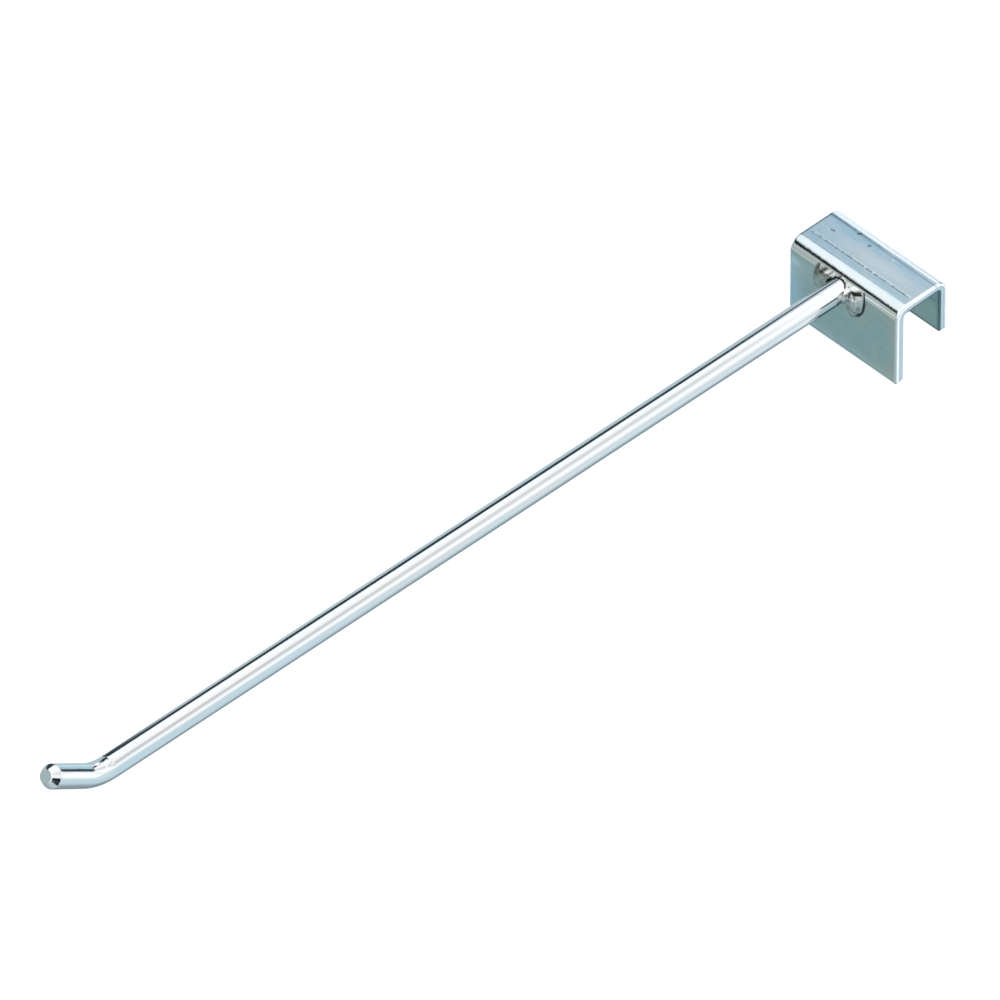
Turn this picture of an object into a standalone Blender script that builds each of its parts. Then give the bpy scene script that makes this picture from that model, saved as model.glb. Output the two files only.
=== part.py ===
"""Display hook: a folded sheet-steel saddle with a round prong welded to its front leg.

Metres, +Z up. The origin is the middle of the saddle's seat, the underside that rests on
the bar. X runs along the bar, and the prong reaches out towards -Y. The prong was welded on
by hand, a little to the left of the saddle's middle.
"""

import math

import bmesh
import bpy
from mathutils import Matrix, Vector

# Saddle
sheetThickness = 0.0025
barGap = 0.012
saddleWidth = 0.035
frontLegHeight = 0.0234
rearLegHeight = 0.0160
foldInnerRadius = 0.0010
foldSteps = 9
shearRounding = 0.0004
shearSteps = 3
dieLineBehindFold = 0.0025
dieLineWidth = 0.0005
dieLineDepth = 0.00012

# Prong
rodDiameter = 0.0060
prongBelowTop = 0.0043
prongOffMiddle = -0.0007
prongReach = 0.2442
prongRise = math.radians(2.4)
tipRise = math.radians(34.5)
tipLength = 0.0190
bendRadius = 0.0160
bendSteps = 10
tipFaceDiameter = 0.0034
tipChamferLength = 0.0021
rodSides = 40
straightRings = 8

# Weld beads
weldClearance = 0.0003
leftBeadWidth = 0.0062
rightBeadWidth = 0.0046
beadHeight = 0.0088
beadProud = 0.0021
beadDrop = 0.0012
beadUnderRod = 0.0010
rippleDepth = 0.0002
rippleCount = 4
beadSegments = 32
beadRings = 24

# Worked out from the sizes above
foldOuterRadius = foldInnerRadius + sheetThickness
rodRadius = rodDiameter / 2
topZ = sheetThickness
frontFaceY = -(barGap / 2 + sheetThickness)
rearFaceY = barGap / 2 + sheetThickness
prongRoot = Vector((prongOffMiddle, frontFaceY - weldClearance, topZ - prongBelowTop))
quarterTurn = math.pi / 2


def clearScene():
    for item in list(bpy.data.objects):
        bpy.data.objects.remove(item, do_unlink=True)


def makeMaterial(name, colour, roughness, metallic):
    material = bpy.data.materials.new(name)
    material.use_nodes = True
    shader = material.node_tree.nodes["Principled BSDF"]
    shader.inputs["Base Color"].default_value = (*colour, 1.0)
    shader.inputs["Roughness"].default_value = roughness
    shader.inputs["Metallic"].default_value = metallic
    return material


def addObject(name, bm, material=None):
    bmesh.ops.recalc_face_normals(bm, faces=bm.faces)
    mesh = bpy.data.meshes.new(name)
    bm.to_mesh(mesh)
    bm.free()
    if material:
        mesh.materials.append(material)
    item = bpy.data.objects.new(name, mesh)
    bpy.context.scene.collection.objects.link(item)
    return item


def shadeRound(item, sharpDegrees):
    item.data.shade_smooth()
    item.data.set_sharp_from_angle(angle=math.radians(sharpDegrees))


def arcPoints(centreY, centreZ, radius, startAngle, endAngle):
    """Points of one fold's arc in the YZ plane, both ends included."""
    points = []
    for step in range(foldSteps + 1):
        angle = startAngle + (endAngle - startAngle) * step / foldSteps
        points.append((centreY + radius * math.cos(angle), centreZ + radius * math.sin(angle)))
    return points


def saddleOuterPoints():
    """The outer side, from the front leg's foot over the top to the rear leg's foot."""
    arcZ = topZ - foldOuterRadius
    frontArcY = frontFaceY + foldOuterRadius
    rearArcY = rearFaceY - foldOuterRadius
    dieLineY = frontArcY + dieLineBehindFold
    points = [(frontFaceY, topZ - frontLegHeight)]
    points += arcPoints(frontArcY, arcZ, foldOuterRadius, 2 * quarterTurn, quarterTurn)
    points += [
        (dieLineY - dieLineWidth / 2, topZ),
        (dieLineY, topZ - dieLineDepth),
        (dieLineY + dieLineWidth / 2, topZ),
    ]
    points += arcPoints(rearArcY, arcZ, foldOuterRadius, quarterTurn, 0)
    points.append((rearFaceY, topZ - rearLegHeight))
    return points


def saddleInnerPoints():
    """The inner side, from the rear leg's foot under the seat to the front leg's foot."""
    arcY = barGap / 2 - foldInnerRadius
    points = [(barGap / 2, topZ - rearLegHeight)]
    points += arcPoints(arcY, -foldInnerRadius, foldInnerRadius, 0, quarterTurn)
    points += arcPoints(-arcY, -foldInnerRadius, foldInnerRadius, quarterTurn, 2 * quarterTurn)
    points.append((-barGap / 2, topZ - frontLegHeight))
    return points


def makeSaddle(material):
    """One strip of sheet folded twice: its folded section is drawn out along the bar."""
    bm = bmesh.new()
    outer = saddleOuterPoints()
    section = [bm.verts.new((-saddleWidth / 2, y, z)) for y, z in outer + saddleInnerPoints()]
    outerVerts = set(section[:len(outer)])
    footVerts = {section[0], section[len(outer) - 1]}
    endFace = bm.faces.new(section)

    drawn = bmesh.ops.extrude_face_region(bm, geom=[endFace], use_keep_orig=True)["geom"]
    farVerts = {v for v in drawn if isinstance(v, bmesh.types.BMVert)}
    for far in farVerts:
        near = next(e.other_vert(far) for e in far.link_edges if e.other_vert(far) not in farVerts)
        if near in footVerts:
            footVerts.add(far)
        if near in outerVerts:
            outerVerts.add(far)
    bmesh.ops.translate(bm, vec=(saddleWidth, 0, 0), verts=list(farVerts))

    # Shearing rounds the blank's rim on its outer side: both ends and both feet
    rim = []
    for edge in bm.edges:
        alongBar = abs(edge.verts[0].co.x - edge.verts[1].co.x) > saddleWidth / 2
        wanted = footVerts if alongBar else outerVerts
        if all(v in wanted for v in edge.verts):
            rim.append(edge)
    bmesh.ops.bevel(bm, geom=rim, offset=shearRounding, offset_type="OFFSET", affect="EDGES",
                    segments=shearSteps, profile=0.5, clamp_overlap=True)
    saddle = addObject("saddle", bm, material)
    shadeRound(saddle, 35)
    return saddle


def drawOut(bm, edges, move):
    """Extrude a ring of edges by a move, and return the new ring's vertices and edges."""
    made = bmesh.ops.extrude_edge_only(bm, edges=edges)["geom"]
    verts = [item for item in made if isinstance(item, bmesh.types.BMVert)]
    bmesh.ops.translate(bm, vec=move, verts=verts)
    newEdges = [item for item in made if isinstance(item, bmesh.types.BMEdge)]
    return verts, [edge for edge in newEdges if all(v in verts for v in edge.verts)]


def makeProng(material):
    """A round rod along -Y, spun up near its end into a short tip with a chamfered face."""
    bm = bmesh.new()
    bendAngle = tipRise - prongRise
    bendTangent = bendRadius * math.tan(bendAngle / 2)
    straightLength = prongReach - weldClearance - bendTangent
    tipStraight = tipLength - bendTangent - tipChamferLength

    facingAlongY = Matrix.Rotation(quarterTurn, 4, "X")
    ring = bmesh.ops.create_circle(bm, cap_ends=False, segments=rodSides, radius=rodRadius,
                                   matrix=facingAlongY)["verts"]
    edges = list(bm.edges)
    rootRing = list(ring)
    for _ in range(straightRings):
        ring, edges = drawOut(bm, edges, Vector((0, -straightLength / straightRings, 0)))

    spun = bmesh.ops.spin(bm, geom=ring + edges, cent=(0, -straightLength, bendRadius),
                          axis=(1, 0, 0), dvec=(0, 0, 0), angle=-bendAngle, steps=bendSteps,
                          use_duplicate=False)["geom_last"]
    edges = [item for item in spun if isinstance(item, bmesh.types.BMEdge)]

    tipDirection = Vector((0, -math.cos(bendAngle), math.sin(bendAngle)))
    ring, edges = drawOut(bm, edges, tipDirection * tipStraight)
    ring, edges = drawOut(bm, edges, tipDirection * tipChamferLength)
    faceCentre = sum((v.co for v in ring), Vector()) / rodSides
    shrink = tipFaceDiameter / rodDiameter
    bmesh.ops.scale(bm, vec=(shrink, shrink, shrink), space=Matrix.Translation(-faceCentre),
                    verts=ring)

    # The rod rises, so its root is cut aslant to stand flat against the upright leg
    for vert in rootRing:
        vert.co.y -= vert.co.z * math.tan(prongRise)
    bmesh.ops.holes_fill(bm, edges=[edge for edge in bm.edges if edge.is_boundary], sides=0)
    prong = addObject("prong", bm, material)
    prong.location = prongRoot
    prong.rotation_euler = (-prongRise, 0, 0)
    shadeRound(prong, 25)
    return prong


def makeCutter(name, bm):
    cutter = addObject(name, bm)
    cutter.hide_render = True
    cutter.display_type = "WIRE"
    return cutter


def makeRodCutter():
    """The space that the rod and its welding gap take up at the root."""
    bm = bmesh.new()
    cutLength = 4 * beadHeight
    bmesh.ops.create_cone(bm, cap_ends=True, segments=rodSides, depth=cutLength,
                          radius1=rodRadius + weldClearance, radius2=rodRadius + weldClearance,
                          matrix=Matrix.Rotation(quarterTurn, 4, "X"))
    cutter = makeCutter("rod_cutter", bm)
    cutter.location = prongRoot
    cutter.rotation_euler = (-prongRise, 0, 0)
    return cutter


def makeLegCutter():
    """The space behind the welding gap in front of the saddle's front leg."""
    bm = bmesh.new()
    cutSize = 2 * (rodDiameter + leftBeadWidth + rightBeadWidth + beadHeight)
    bmesh.ops.create_cube(bm, size=cutSize)
    cutter = makeCutter("leg_cutter", bm)
    cutter.location = prongRoot + Vector((0, cutSize / 2, 0))
    return cutter


def makeWeldBead(name, side, width, material, cutters):
    """A rippled mound of weld beside the rod, cut to the rod and to the leg behind it."""
    bm = bmesh.new()
    bmesh.ops.create_uvsphere(bm, u_segments=beadSegments, v_segments=beadRings, radius=1)
    halfWidth = (width + beadUnderRod) / 2
    for vert in bm.verts:
        x, y, z = vert.co
        ripple = rippleDepth * (1 - z * z) * math.cos(rippleCount * math.pi * z)
        vert.co = (x * halfWidth, y * (beadProud + ripple), z * beadHeight / 2)
    bead = addObject(name, bm, material)
    centreX = side * (rodRadius - beadUnderRod + halfWidth)
    bead.location = prongRoot + Vector((centreX, 0, -beadDrop))
    bead.data.shade_smooth()
    for cutter in cutters:
        cut = bead.modifiers.new("cut by " + cutter.name, "BOOLEAN")
        cut.operation = "DIFFERENCE"
        cut.object = cutter
    return bead


def main():
    clearScene()
    zincSheet = makeMaterial("zinc plated sheet", (0.62, 0.70, 0.73), 0.28, 0.9)
    zincRod = makeMaterial("zinc plated rod", (0.74, 0.80, 0.83), 0.16, 1.0)
    zincWeld = makeMaterial("zinc plated weld", (0.46, 0.48, 0.47), 0.38, 0.9)
    makeSaddle(zincSheet)
    makeProng(zincRod)
    cutters = [makeRodCutter(), makeLegCutter()]
    makeWeldBead("weld_bead_left", -1, leftBeadWidth, zincWeld, cutters)
    makeWeldBead("weld_bead_right", 1, rightBeadWidth, zincWeld, cutters)


main()
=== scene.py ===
import math

import bmesh
import bpy
import numpy as np
from mathutils import Matrix, Vector, noise


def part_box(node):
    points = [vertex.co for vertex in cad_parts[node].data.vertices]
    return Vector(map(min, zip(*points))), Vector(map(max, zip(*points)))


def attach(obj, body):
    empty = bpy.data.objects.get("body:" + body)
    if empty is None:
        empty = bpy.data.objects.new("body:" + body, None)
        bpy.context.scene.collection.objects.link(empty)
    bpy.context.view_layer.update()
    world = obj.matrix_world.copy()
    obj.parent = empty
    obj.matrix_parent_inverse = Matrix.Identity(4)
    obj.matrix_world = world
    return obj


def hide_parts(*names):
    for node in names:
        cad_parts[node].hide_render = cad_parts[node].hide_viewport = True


# Display hook: zinc plated saddle, round prong and two weld beads. Metres, +Z up.
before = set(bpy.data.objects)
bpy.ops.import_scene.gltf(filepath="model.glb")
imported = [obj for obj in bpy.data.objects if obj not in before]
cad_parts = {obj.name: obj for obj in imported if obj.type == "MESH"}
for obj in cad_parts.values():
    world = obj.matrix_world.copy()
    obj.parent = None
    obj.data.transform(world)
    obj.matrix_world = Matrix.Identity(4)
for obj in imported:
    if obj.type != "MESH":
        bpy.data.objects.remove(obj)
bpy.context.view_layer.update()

mm = 0.001
tiny = 1e-9  # keeps a division from failing
noiseRange = (0.3, 0.7)  # nearly all of a noise's values
noiseCore = (0.35, 0.65)  # most of them
saddleLow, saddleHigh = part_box("saddle")
prongLow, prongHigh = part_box("prong")


# Helpers for nodes and meshes

def addNode(tree, kind, inputs=None, **settings):
    made = tree.nodes.new("ShaderNode" + kind)
    for key, value in settings.items():
        setattr(made, key, value)
    for key, value in (inputs or {}).items():
        if isinstance(value, bpy.types.NodeSocket):
            tree.links.new(value, made.inputs[key])
        else:
            made.inputs[key].default_value = value
    return made


def mixColours(tree, factor, first, second):
    colours = [value if isinstance(value, bpy.types.NodeSocket) else (*value, 1)
               for value in (first, second)]
    mix = addNode(tree, "Mix", {0: factor, 6: colours[0], 7: colours[1]}, data_type="RGBA")
    return mix.outputs[2]


def addRamp(tree, factor, stops):
    ramp = addNode(tree, "ValToRGB", {"Fac": factor})
    elements = ramp.color_ramp.elements
    while len(elements) < len(stops):
        elements.new(0.5)
    for element, (position, colour) in zip(elements, stops):
        element.position = position
        element.color = (*colour, 1)
    return ramp.outputs["Color"]


def mapValue(tree, value, fromLow, fromHigh, toLow, toHigh):
    return addNode(tree, "MapRange", {
        "Value": value, "From Min": fromLow, "From Max": fromHigh,
        "To Min": toLow, "To Max": toHigh}).outputs["Result"]


def calculate(tree, operation, first, second=0.0):
    return addNode(tree, "Math", {0: first, 1: second}, operation=operation).outputs[0]


def addNoise(tree, place, scale, detail, stretch=(1, 1, 1), roughness=0.55):
    placed = addNode(tree, "Mapping", {"Vector": place, "Scale": stretch}).outputs["Vector"]
    return addNode(tree, "TexNoise", {
        "Vector": placed, "Scale": scale, "Detail": detail, "Roughness": roughness}).outputs["Fac"]


def readAttribute(tree, name, output="Fac"):
    return addNode(tree, "Attribute", attribute_name=name).outputs[output]


def addNoises(tree, attribute, noises):
    # noises: scale for each millimetre, detail, and stretch where one is drawn out
    place = readAttribute(tree, attribute, "Vector")
    return [addNoise(tree, place, *values) for values in noises]


def mixMarks(tree, marks, colour, bright, dark):
    # Marks above zero pass into the bright colour, those below zero into the dark one
    colour = mixColours(tree, marks, colour, bright)
    return mixColours(tree, calculate(tree, "MULTIPLY", marks, -1.0), colour, dark)


def startMaterial(name):
    material = bpy.data.materials.new(name)
    material.use_nodes = True
    return material, material.node_tree


def startZinc(name):
    material, tree = startMaterial(name)
    shader = tree.nodes["Principled BSDF"]
    shader.inputs["Metallic"].default_value = 1.0
    return material, tree, shader


def finishZinc(tree, shader, colour, rough, heights, bumps):
    # bumps: strength and depth for each height, the coarse ones first
    tree.links.new(colour, shader.inputs["Base Color"])
    tree.links.new(rough, shader.inputs["Roughness"])
    normal = None
    for height, (strength, depth) in zip(heights, bumps):
        inputs = {"Height": height, "Strength": strength, "Distance": depth}
        if normal:
            inputs["Normal"] = normal
        normal = addNode(tree, "Bump", inputs).outputs["Normal"]
    tree.links.new(normal, shader.inputs["Normal"])


def storeAttribute(mesh, name, values):
    kind = "FLOAT_VECTOR" if np.ndim(values) == 2 else "FLOAT"
    layer = mesh.attributes.new(name, kind, "POINT")
    layer.data.foreach_set("vector" if kind == "FLOAT_VECTOR" else "value",
                           np.asarray(values, dtype=np.float32).ravel())


def addObject(name, data):
    made = bpy.data.objects.new(name, data)
    bpy.context.scene.collection.objects.link(made)
    return made


def addMesh(name, bm):
    mesh = bpy.data.meshes.new(name)
    bm.to_mesh(mesh)
    bm.free()
    return addObject(name, mesh)


def addPiece(name, points, faces, materials, sharpDegrees, faceMaterials=None):
    mesh = bpy.data.meshes.new(name)
    mesh.from_pydata([tuple(p) for p in points], [], faces)
    for material in materials:
        mesh.materials.append(material)
    if faceMaterials is not None:
        mesh.polygons.foreach_set("material_index", faceMaterials)
    bm = bmesh.new()
    bm.from_mesh(mesh)
    bmesh.ops.recalc_face_normals(bm, faces=bm.faces)
    bm.to_mesh(mesh)
    bm.free()
    mesh.shade_smooth()
    mesh.set_sharp_from_angle(angle=math.radians(sharpDegrees))
    return addObject(name, mesh)


# Saddle: a sheared blank, folded twice

saddleLook = {
    "sheetThickness": 2.5 * mm,
    "foldInnerRadius": 1.0 * mm,
    "rearLegHeight": 16.0 * mm,
    "meshStep": 0.36 * mm,
    "acrossStep": 0.27 * mm,
    "foldStep": 0.14 * mm,
    "lineStep": 0.07 * mm,
    "rolloverInset": 1.2 * mm,  # rounding left by the shear on the outer side
    "rolloverDepth": 0.25 * mm,
    "rolloverStart": math.radians(20),
    "leftRollover": 0.45,  # the left end was sheared with less rounding
    "rolloverSteps": 8,
    "burnished": 0.9 * mm,  # smooth part of the sheared edge; below it the metal is torn
    # The torn part, step by step: millimetres in and millimetres deep
    "tornSteps": [(0.03, 1.02), (0.05, 1.22), (0.05, 1.45), (0.04, 1.65), (0.06, 1.85), (0.05, 2.05),
                  (0.07, 2.25), (0.1, 2.42)],
    "tear": 0.05 * mm,
    "tearSize": 0.35 * mm,
    "innerInset": 0.16 * mm,  # the inner side ends this far from the blank's outline
    "cornerRounding": 0.35 * mm,
    "dieLineBehindFold": 2.5 * mm,
    "dieLineDepth": 0.03 * mm,
    "dieLineHalfWidth": 0.13 * mm,
    "dieLineEndGap": 1.2 * mm,
    "dieLineFade": 0.12 * mm,
    "topSlope": math.radians(2.0),  # the top falls a little to the rear
    "edgeBows": [(-1, 6.0, 0.15), (1, 2.0, 0.05)],  # front leg: side, millimetres wide, deep
    "bowEnd": 2.0 * mm,  # the bows end this far below the fold
    "bowFade": 0.5 * mm,
    "footBow": (3.5, 0.06),
    "waviness": 0.012 * mm,
    "wavinessSize": 8.0 * mm,
    "foldStretch": 0.02 * mm,  # how far the outer side draws in at the folds' ends
    # Small dents on the top: millimetres along the bar and behind the front face, radius, depth
    "dents": [(-7.85, 13.24, 0.42, 0.03), (-3.23, 11.88, 0.42, 0.03), (4.39, 12.32, 0.4, 0.024),
              (-13.6, 9.45, 0.26, 0.024), (-12.9, 9.6, 0.26, 0.024), (9.3, 10.6, 0.35, 0.02)],
    # Spots on the top, most of them painted shade and painted highlights over the dents: along the
    # bar, behind the front face, size, dark or bright
    "paintedShadingAndMarks": [(-7.85, 13.24, 0.4, -0.9), (-3.23, 11.88, 0.36, -0.9), (4.39, 12.32, 0.42, 0.8),
                 (-13.81, 9.43, 0.22, 0.8), (-13.2, 9.52, 0.22, -0.8), (-12.6, 9.62, 0.26, -0.9),
                 (9.3, 10.4, 0.3, 0.5), (-15.2, 7.6, 0.25, -0.3), (12.4, 7.9, 0.25, 0.4)],
    # The die line's dashes: noise scale, seed, amount; then middle, contrast, least
    "dashNoise": [(1.1, 4.0, 1.0), (3.1, 9.0, 0.6)],
    "dashes": (0.75, 1.3, 0.15),
    "glintDashes": (1.6, 0.45),
    "dashEndFade": 0.4,
    # Painted shade and painted highlights along a line: amount, millimetres behind the line or inward,
    # half width
    "dieLineShade": (-0.95, -0.1, 0.24),
    "dieLineGlint": (0.9, 0.4, 0.17),
    "rearEdgeShade": (-0.36, -0.15, 0.42),
    "leftEdgeShade": (-0.75, 0.2, 0.3),
    "burrShade": (-0.9, 0.0, 0.62),
    "hollowShade": (-0.9, 0.0, 1.4),  # inner side of the rear fold
    # Painted shadow of the burr on the torn edge: amount, from depth to depth, start behind the front
    # fold
    "burrShadowLine": (-0.85, 2.0, 2.45, 0.3),
    "leftEdgeEnds": (-0.6, 0.3),  # beyond the front fold's end and the rear fold's start
    # Depths in millimetres where the outer side's plating ends and the inner side's starts
    "outerTo": 0.8,
    "innerFrom": 2.4,
    # Tint: millimetres along the bar, millimetres along the blank from the front foot,
    # the two half sizes and the amount (warm above zero, blue below)
    "tints": [(-4, 18.6, 16, 2.0, 0.85), (17, 12, 1.6, 12, 0.8), (15, 0.6, 8, 3.0, 0.9),
              (-15, 9, 5, 10, -0.7), (0, 30.6, 18, 1.8, 0.35), (0, 34.8, 20, 1.9, -1.1),
              (0, 26.6, 20, 0.9, -0.65), (-13, 30.5, 5, 5, -0.9)],
    # The same for the painted highlights, lighter bands on the folds, the top and the front face
    "highlightBands": [(0, 23.2, 30, 2.4, 0.9), (5, 30.8, 15, 1.9, 0.6), (-14, 30.0, 5, 3.0, 0.2),
                   (-13, 18.0, 6, 2.6, 0.9), (-14.5, 12, 5, 9, 0.5), (4, 30.5, 9, 2.8, 0.4),
                   (4, 15, 14, 4, 0.25), (0, 38.4, 40, 2.7, 1.0)],
    "tintColours": [(0.0, (0.52, 0.74, 0.86)), (0.5, (0.66, 0.8, 0.84)), (1.0, (0.86, 0.83, 0.76))],
    # colour of the painted highlights
    "highlightZinc": (0.82, 0.9, 0.94),
    # painted shade of the inner side
    "innerShadeColour": (0.52, 0.66, 0.66),
    "heatTint": (0.46, 0.44, 0.42),
    "heatCentre": (-1.5 * mm, -1.5 * mm),  # along the bar and up, from the rod's axis
    "heatReach": 6.875 * mm,
    "heatSquash": 1.25,
    "heatSpeckle": (0.15, 0.9),
    "heatAmount": 0.6,
    "heatRoughness": 0.1,
    # Colours of the painted highlights and painted shade, and of the few marks
    "glintAndMarkBright": (0.95, 0.97, 0.98),
    "shadeAndMarkDark": (0.05, 0.08, 0.1),
    # Cloud, grain and speckle of the plating, and their relief's strength and depth
    "noises": [(0.22, 4), (1.3, 4, (0.16, 1.5, 1)), (4.5, 2)],
    "bumps": [(0.3, 0.12 * mm), (0.14, 0.02 * mm), (0.25, 0.006 * mm)],
    "cloudTint": 0.4,
    "grainTint": 0.16,
    "grainLight": 0.18,
    # how far the inner side's painted shade goes
    "innerShadeAmount": 0.85,
    "roughness": (0.06, 0.13),
    # The sheared edge; its noises are patches and scores
    "shearedColour": (0.95, 0.97, 0.98),
    "shearedBlue": (0.72, 0.84, 0.9),
    "shearedPatches": (0.5, 0.75, 0, 0.6),  # from noise, to noise, least and most blue
    "tornColour": (0.55, 0.68, 0.74),
    # painted shadow of the burr
    "burrShadowColour": (0.06, 0.14, 0.15),
    "edgeNoises": [(1.1, 4), (2.2, 3, (3.0, 3.0, 0.25))],
    "edgeRoughness": (0.16, 0.36),
    "edgeBumps": [(0.25, 0.04 * mm), (0.3, 0.01 * mm)],
}

look = saddleLook
saddleWidth = saddleHigh.x - saddleLow.x
foldRadius = look["foldInnerRadius"] + look["sheetThickness"]
frontRun = saddleHigh.z - saddleLow.z - foldRadius
arcRun = foldRadius * math.pi / 2
topRun = saddleHigh.y - saddleLow.y - 2 * foldRadius
rearRun = look["rearLegHeight"] - foldRadius
blankLength = frontRun + 2 * arcRun + topRun + rearRun
foldStart = frontRun
topStart = foldStart + arcRun
rearFoldStart = topStart + topRun
rearStart = rearFoldStart + arcRun


def foldBlank(along, depth):
    # Folds a point of the flat blank: along runs on the outer side from the front foot to the
    # rear one, depth goes into the metal
    arcZ = saddleHigh.z - foldRadius
    frontAngle = np.clip((along - foldStart) / foldRadius, 0, math.pi / 2)
    rearAngle = np.clip((along - rearFoldStart) / foldRadius, 0, math.pi / 2)
    reach = foldRadius - depth
    y = saddleLow.y + foldRadius - np.cos(frontAngle) * reach
    z = arcZ + np.sin(frontAngle) * reach
    z = np.where(along < foldStart, saddleLow.z + along, z)
    y = np.where(along > topStart, saddleLow.y + foldRadius + along - topStart, y)
    inRearFold = along > rearFoldStart
    y = np.where(inRearFold, saddleHigh.y - foldRadius + np.sin(rearAngle) * reach, y)
    z = np.where(inRearFold, arcZ + np.cos(rearAngle) * reach, z)
    z = np.where(along > rearStart, arcZ - (along - rearStart), z)
    return y, z


def spacedStops(stretches):
    # stretches: (start, end, spacing), one after the other
    stops = []
    for start, end, spacing in stretches:
        count = max(1, math.ceil((end - start) / spacing))
        stops += [start + (end - start) * step / count for step in range(count)]
    return np.array(stops + [stretches[-1][1]])


def softHill(distance, size):
    return np.exp(-(distance / size) ** 2)


def topFall(along):
    # The top's fall to the rear, taken up again round the rear fold
    fall = np.clip(along - topStart, 0, topRun) * math.tan(look["topSlope"])
    return fall * np.clip((rearStart - along) / arcRun, 0, 1)


def outerRelief(x, along):
    # How deep the outer side lies below its true plane: die line, dents and slight waviness
    lineAt = topStart + look["dieLineBehindFold"]
    endGap = saddleWidth / 2 - look["dieLineEndGap"]
    fade = 1 / (1 + np.exp((np.abs(x) - endGap) / look["dieLineFade"]))
    relief = look["dieLineDepth"] * softHill(along - lineAt, look["dieLineHalfWidth"]) * fade
    for dentX, dentBack, size, deep in look["dents"]:
        dentAlong = topStart + dentBack * mm - foldRadius
        away = np.hypot(x - dentX * mm, along - dentAlong)
        relief += deep * mm * softHill(away, size * mm)
    onLeg = 1 / (1 + np.exp((along - foldStart + look["bowEnd"]) / look["bowFade"]))
    for side, wide, deep in look["edgeBows"]:
        fromEdge = np.clip(1 - (saddleWidth / 2 - side * x) / (wide * mm), 0, None)
        relief += deep * mm * fromEdge ** 2 * onLeg
    wide, deep = look["footBow"]
    relief += deep * mm * np.clip(1 - along / (wide * mm), 0, None) ** 2
    waves = np.array([
        noise.noise(Vector((px, pa, 0)) / look["wavinessSize"])
        for px, pa in zip(x.ravel(), along.ravel())]).reshape(x.shape)
    return relief + look["waviness"] * (1 + waves) + topFall(along)


def rimProfile():
    # The sheared rim, from the outer side to the inner: (inset, depth, torn or not)
    steps = look["rolloverSteps"]
    profile = []
    for step in range(1, steps + 1):
        start = look["rolloverStart"]
        turn = start + (math.pi / 2 - start) * step / steps
        profile.append((look["rolloverInset"] * (1 - math.sin(turn)),
                        look["rolloverDepth"] * (1 - math.cos(turn) / math.cos(start)), 0))
    profile += [(0, look["burnished"] / 2, 0), (0, look["burnished"], 0)]
    return profile + [(inset * mm, depth * mm, 1) for inset, depth in look["tornSteps"]]


def roundCorners(x, along):
    # Pulls the blank's four corners in to a small radius
    rounding = look["cornerRounding"]
    sideX = rounding - (saddleWidth / 2 - np.abs(x))
    sideA = rounding - np.minimum(along, blankLength - along)
    inCorner = (sideX > 0) & (sideA > 0)
    largest = np.maximum(sideX, sideA)
    shrink = np.where(inCorner, largest / np.maximum(np.hypot(sideX, sideA), tiny), 1)
    newX = np.sign(x) * (saddleWidth / 2 - rounding + sideX * shrink)
    towardFoot = along < blankLength / 2
    inset = rounding - sideA * shrink
    newAlong = np.where(towardFoot, inset, blankLength - inset)
    return np.where(inCorner, newX, x), np.where(inCorner, newAlong, along)


def foldedPoints(x, along, depth):
    x, along = roundCorners(x, along)
    frontMiddle = topStart - arcRun / 2
    rearMiddle = rearStart - arcRun / 2
    atFold = softHill(along - frontMiddle, arcRun / 2) + softHill(along - rearMiddle, arcRun / 2)
    outerShare = np.clip(1 - 2 * depth / look["sheetThickness"], 0, 1)
    drawn = 1 - look["foldStretch"] * atFold * outerShare / (saddleWidth / 2)
    y, z = foldBlank(along, depth)
    return np.stack([x * drawn, y, z], axis=-1), x, along


def alongTheBlank(edge):
    # The mesh's stops from foot to foot, closest at the die line and in the folds
    lineAt = topStart + look["dieLineBehindFold"]
    fine = 3 * look["dieLineHalfWidth"]
    step, topStep, foldStep = look["meshStep"], look["meshStep"] / 2, look["foldStep"]
    return spacedStops([
        (edge, foldStart, step), (foldStart, topStart, foldStep), (topStart, lineAt - fine, topStep),
        (lineAt - fine, lineAt + fine, look["lineStep"]), (lineAt + fine, rearFoldStart, topStep),
        (rearFoldStart, rearStart, foldStep), (rearStart, blankLength - edge, step)])


def walkRound(rows, columns):
    # The grid's boundary, as (row, column), once round
    walk = [(0, c) for c in range(columns)] + [(r, columns - 1) for r in range(1, rows)]
    walk += [(rows - 1, c) for c in range(columns - 2, -1, -1)]
    return walk + [(r, 0) for r in range(rows - 2, 0, -1)]


def saddleFaces(rows, columns, outerFirst, innerFirst, rings):
    # Outer and inner side as grids, then the rim's rings; the second material starts at the rim
    faces = []
    for r in range(rows - 1):
        for c in range(columns - 1):
            corner = outerFirst + r * columns + c
            faces.append((corner, corner + 1, corner + columns + 1, corner + columns))
            corner = innerFirst + r * columns + c
            faces.append((corner, corner + columns, corner + columns + 1, corner + 1))
    faceMaterials = [0] * len(faces)
    for index, (upper, lower) in enumerate(zip(rings, rings[1:])):
        for step in range(len(upper)):
            following = (step + 1) % len(upper)
            faces.append((upper[step], lower[step], lower[following], upper[following]))
            faceMaterials.append(1 if index >= 1 else 0)
    return faces, faceMaterials


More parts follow.
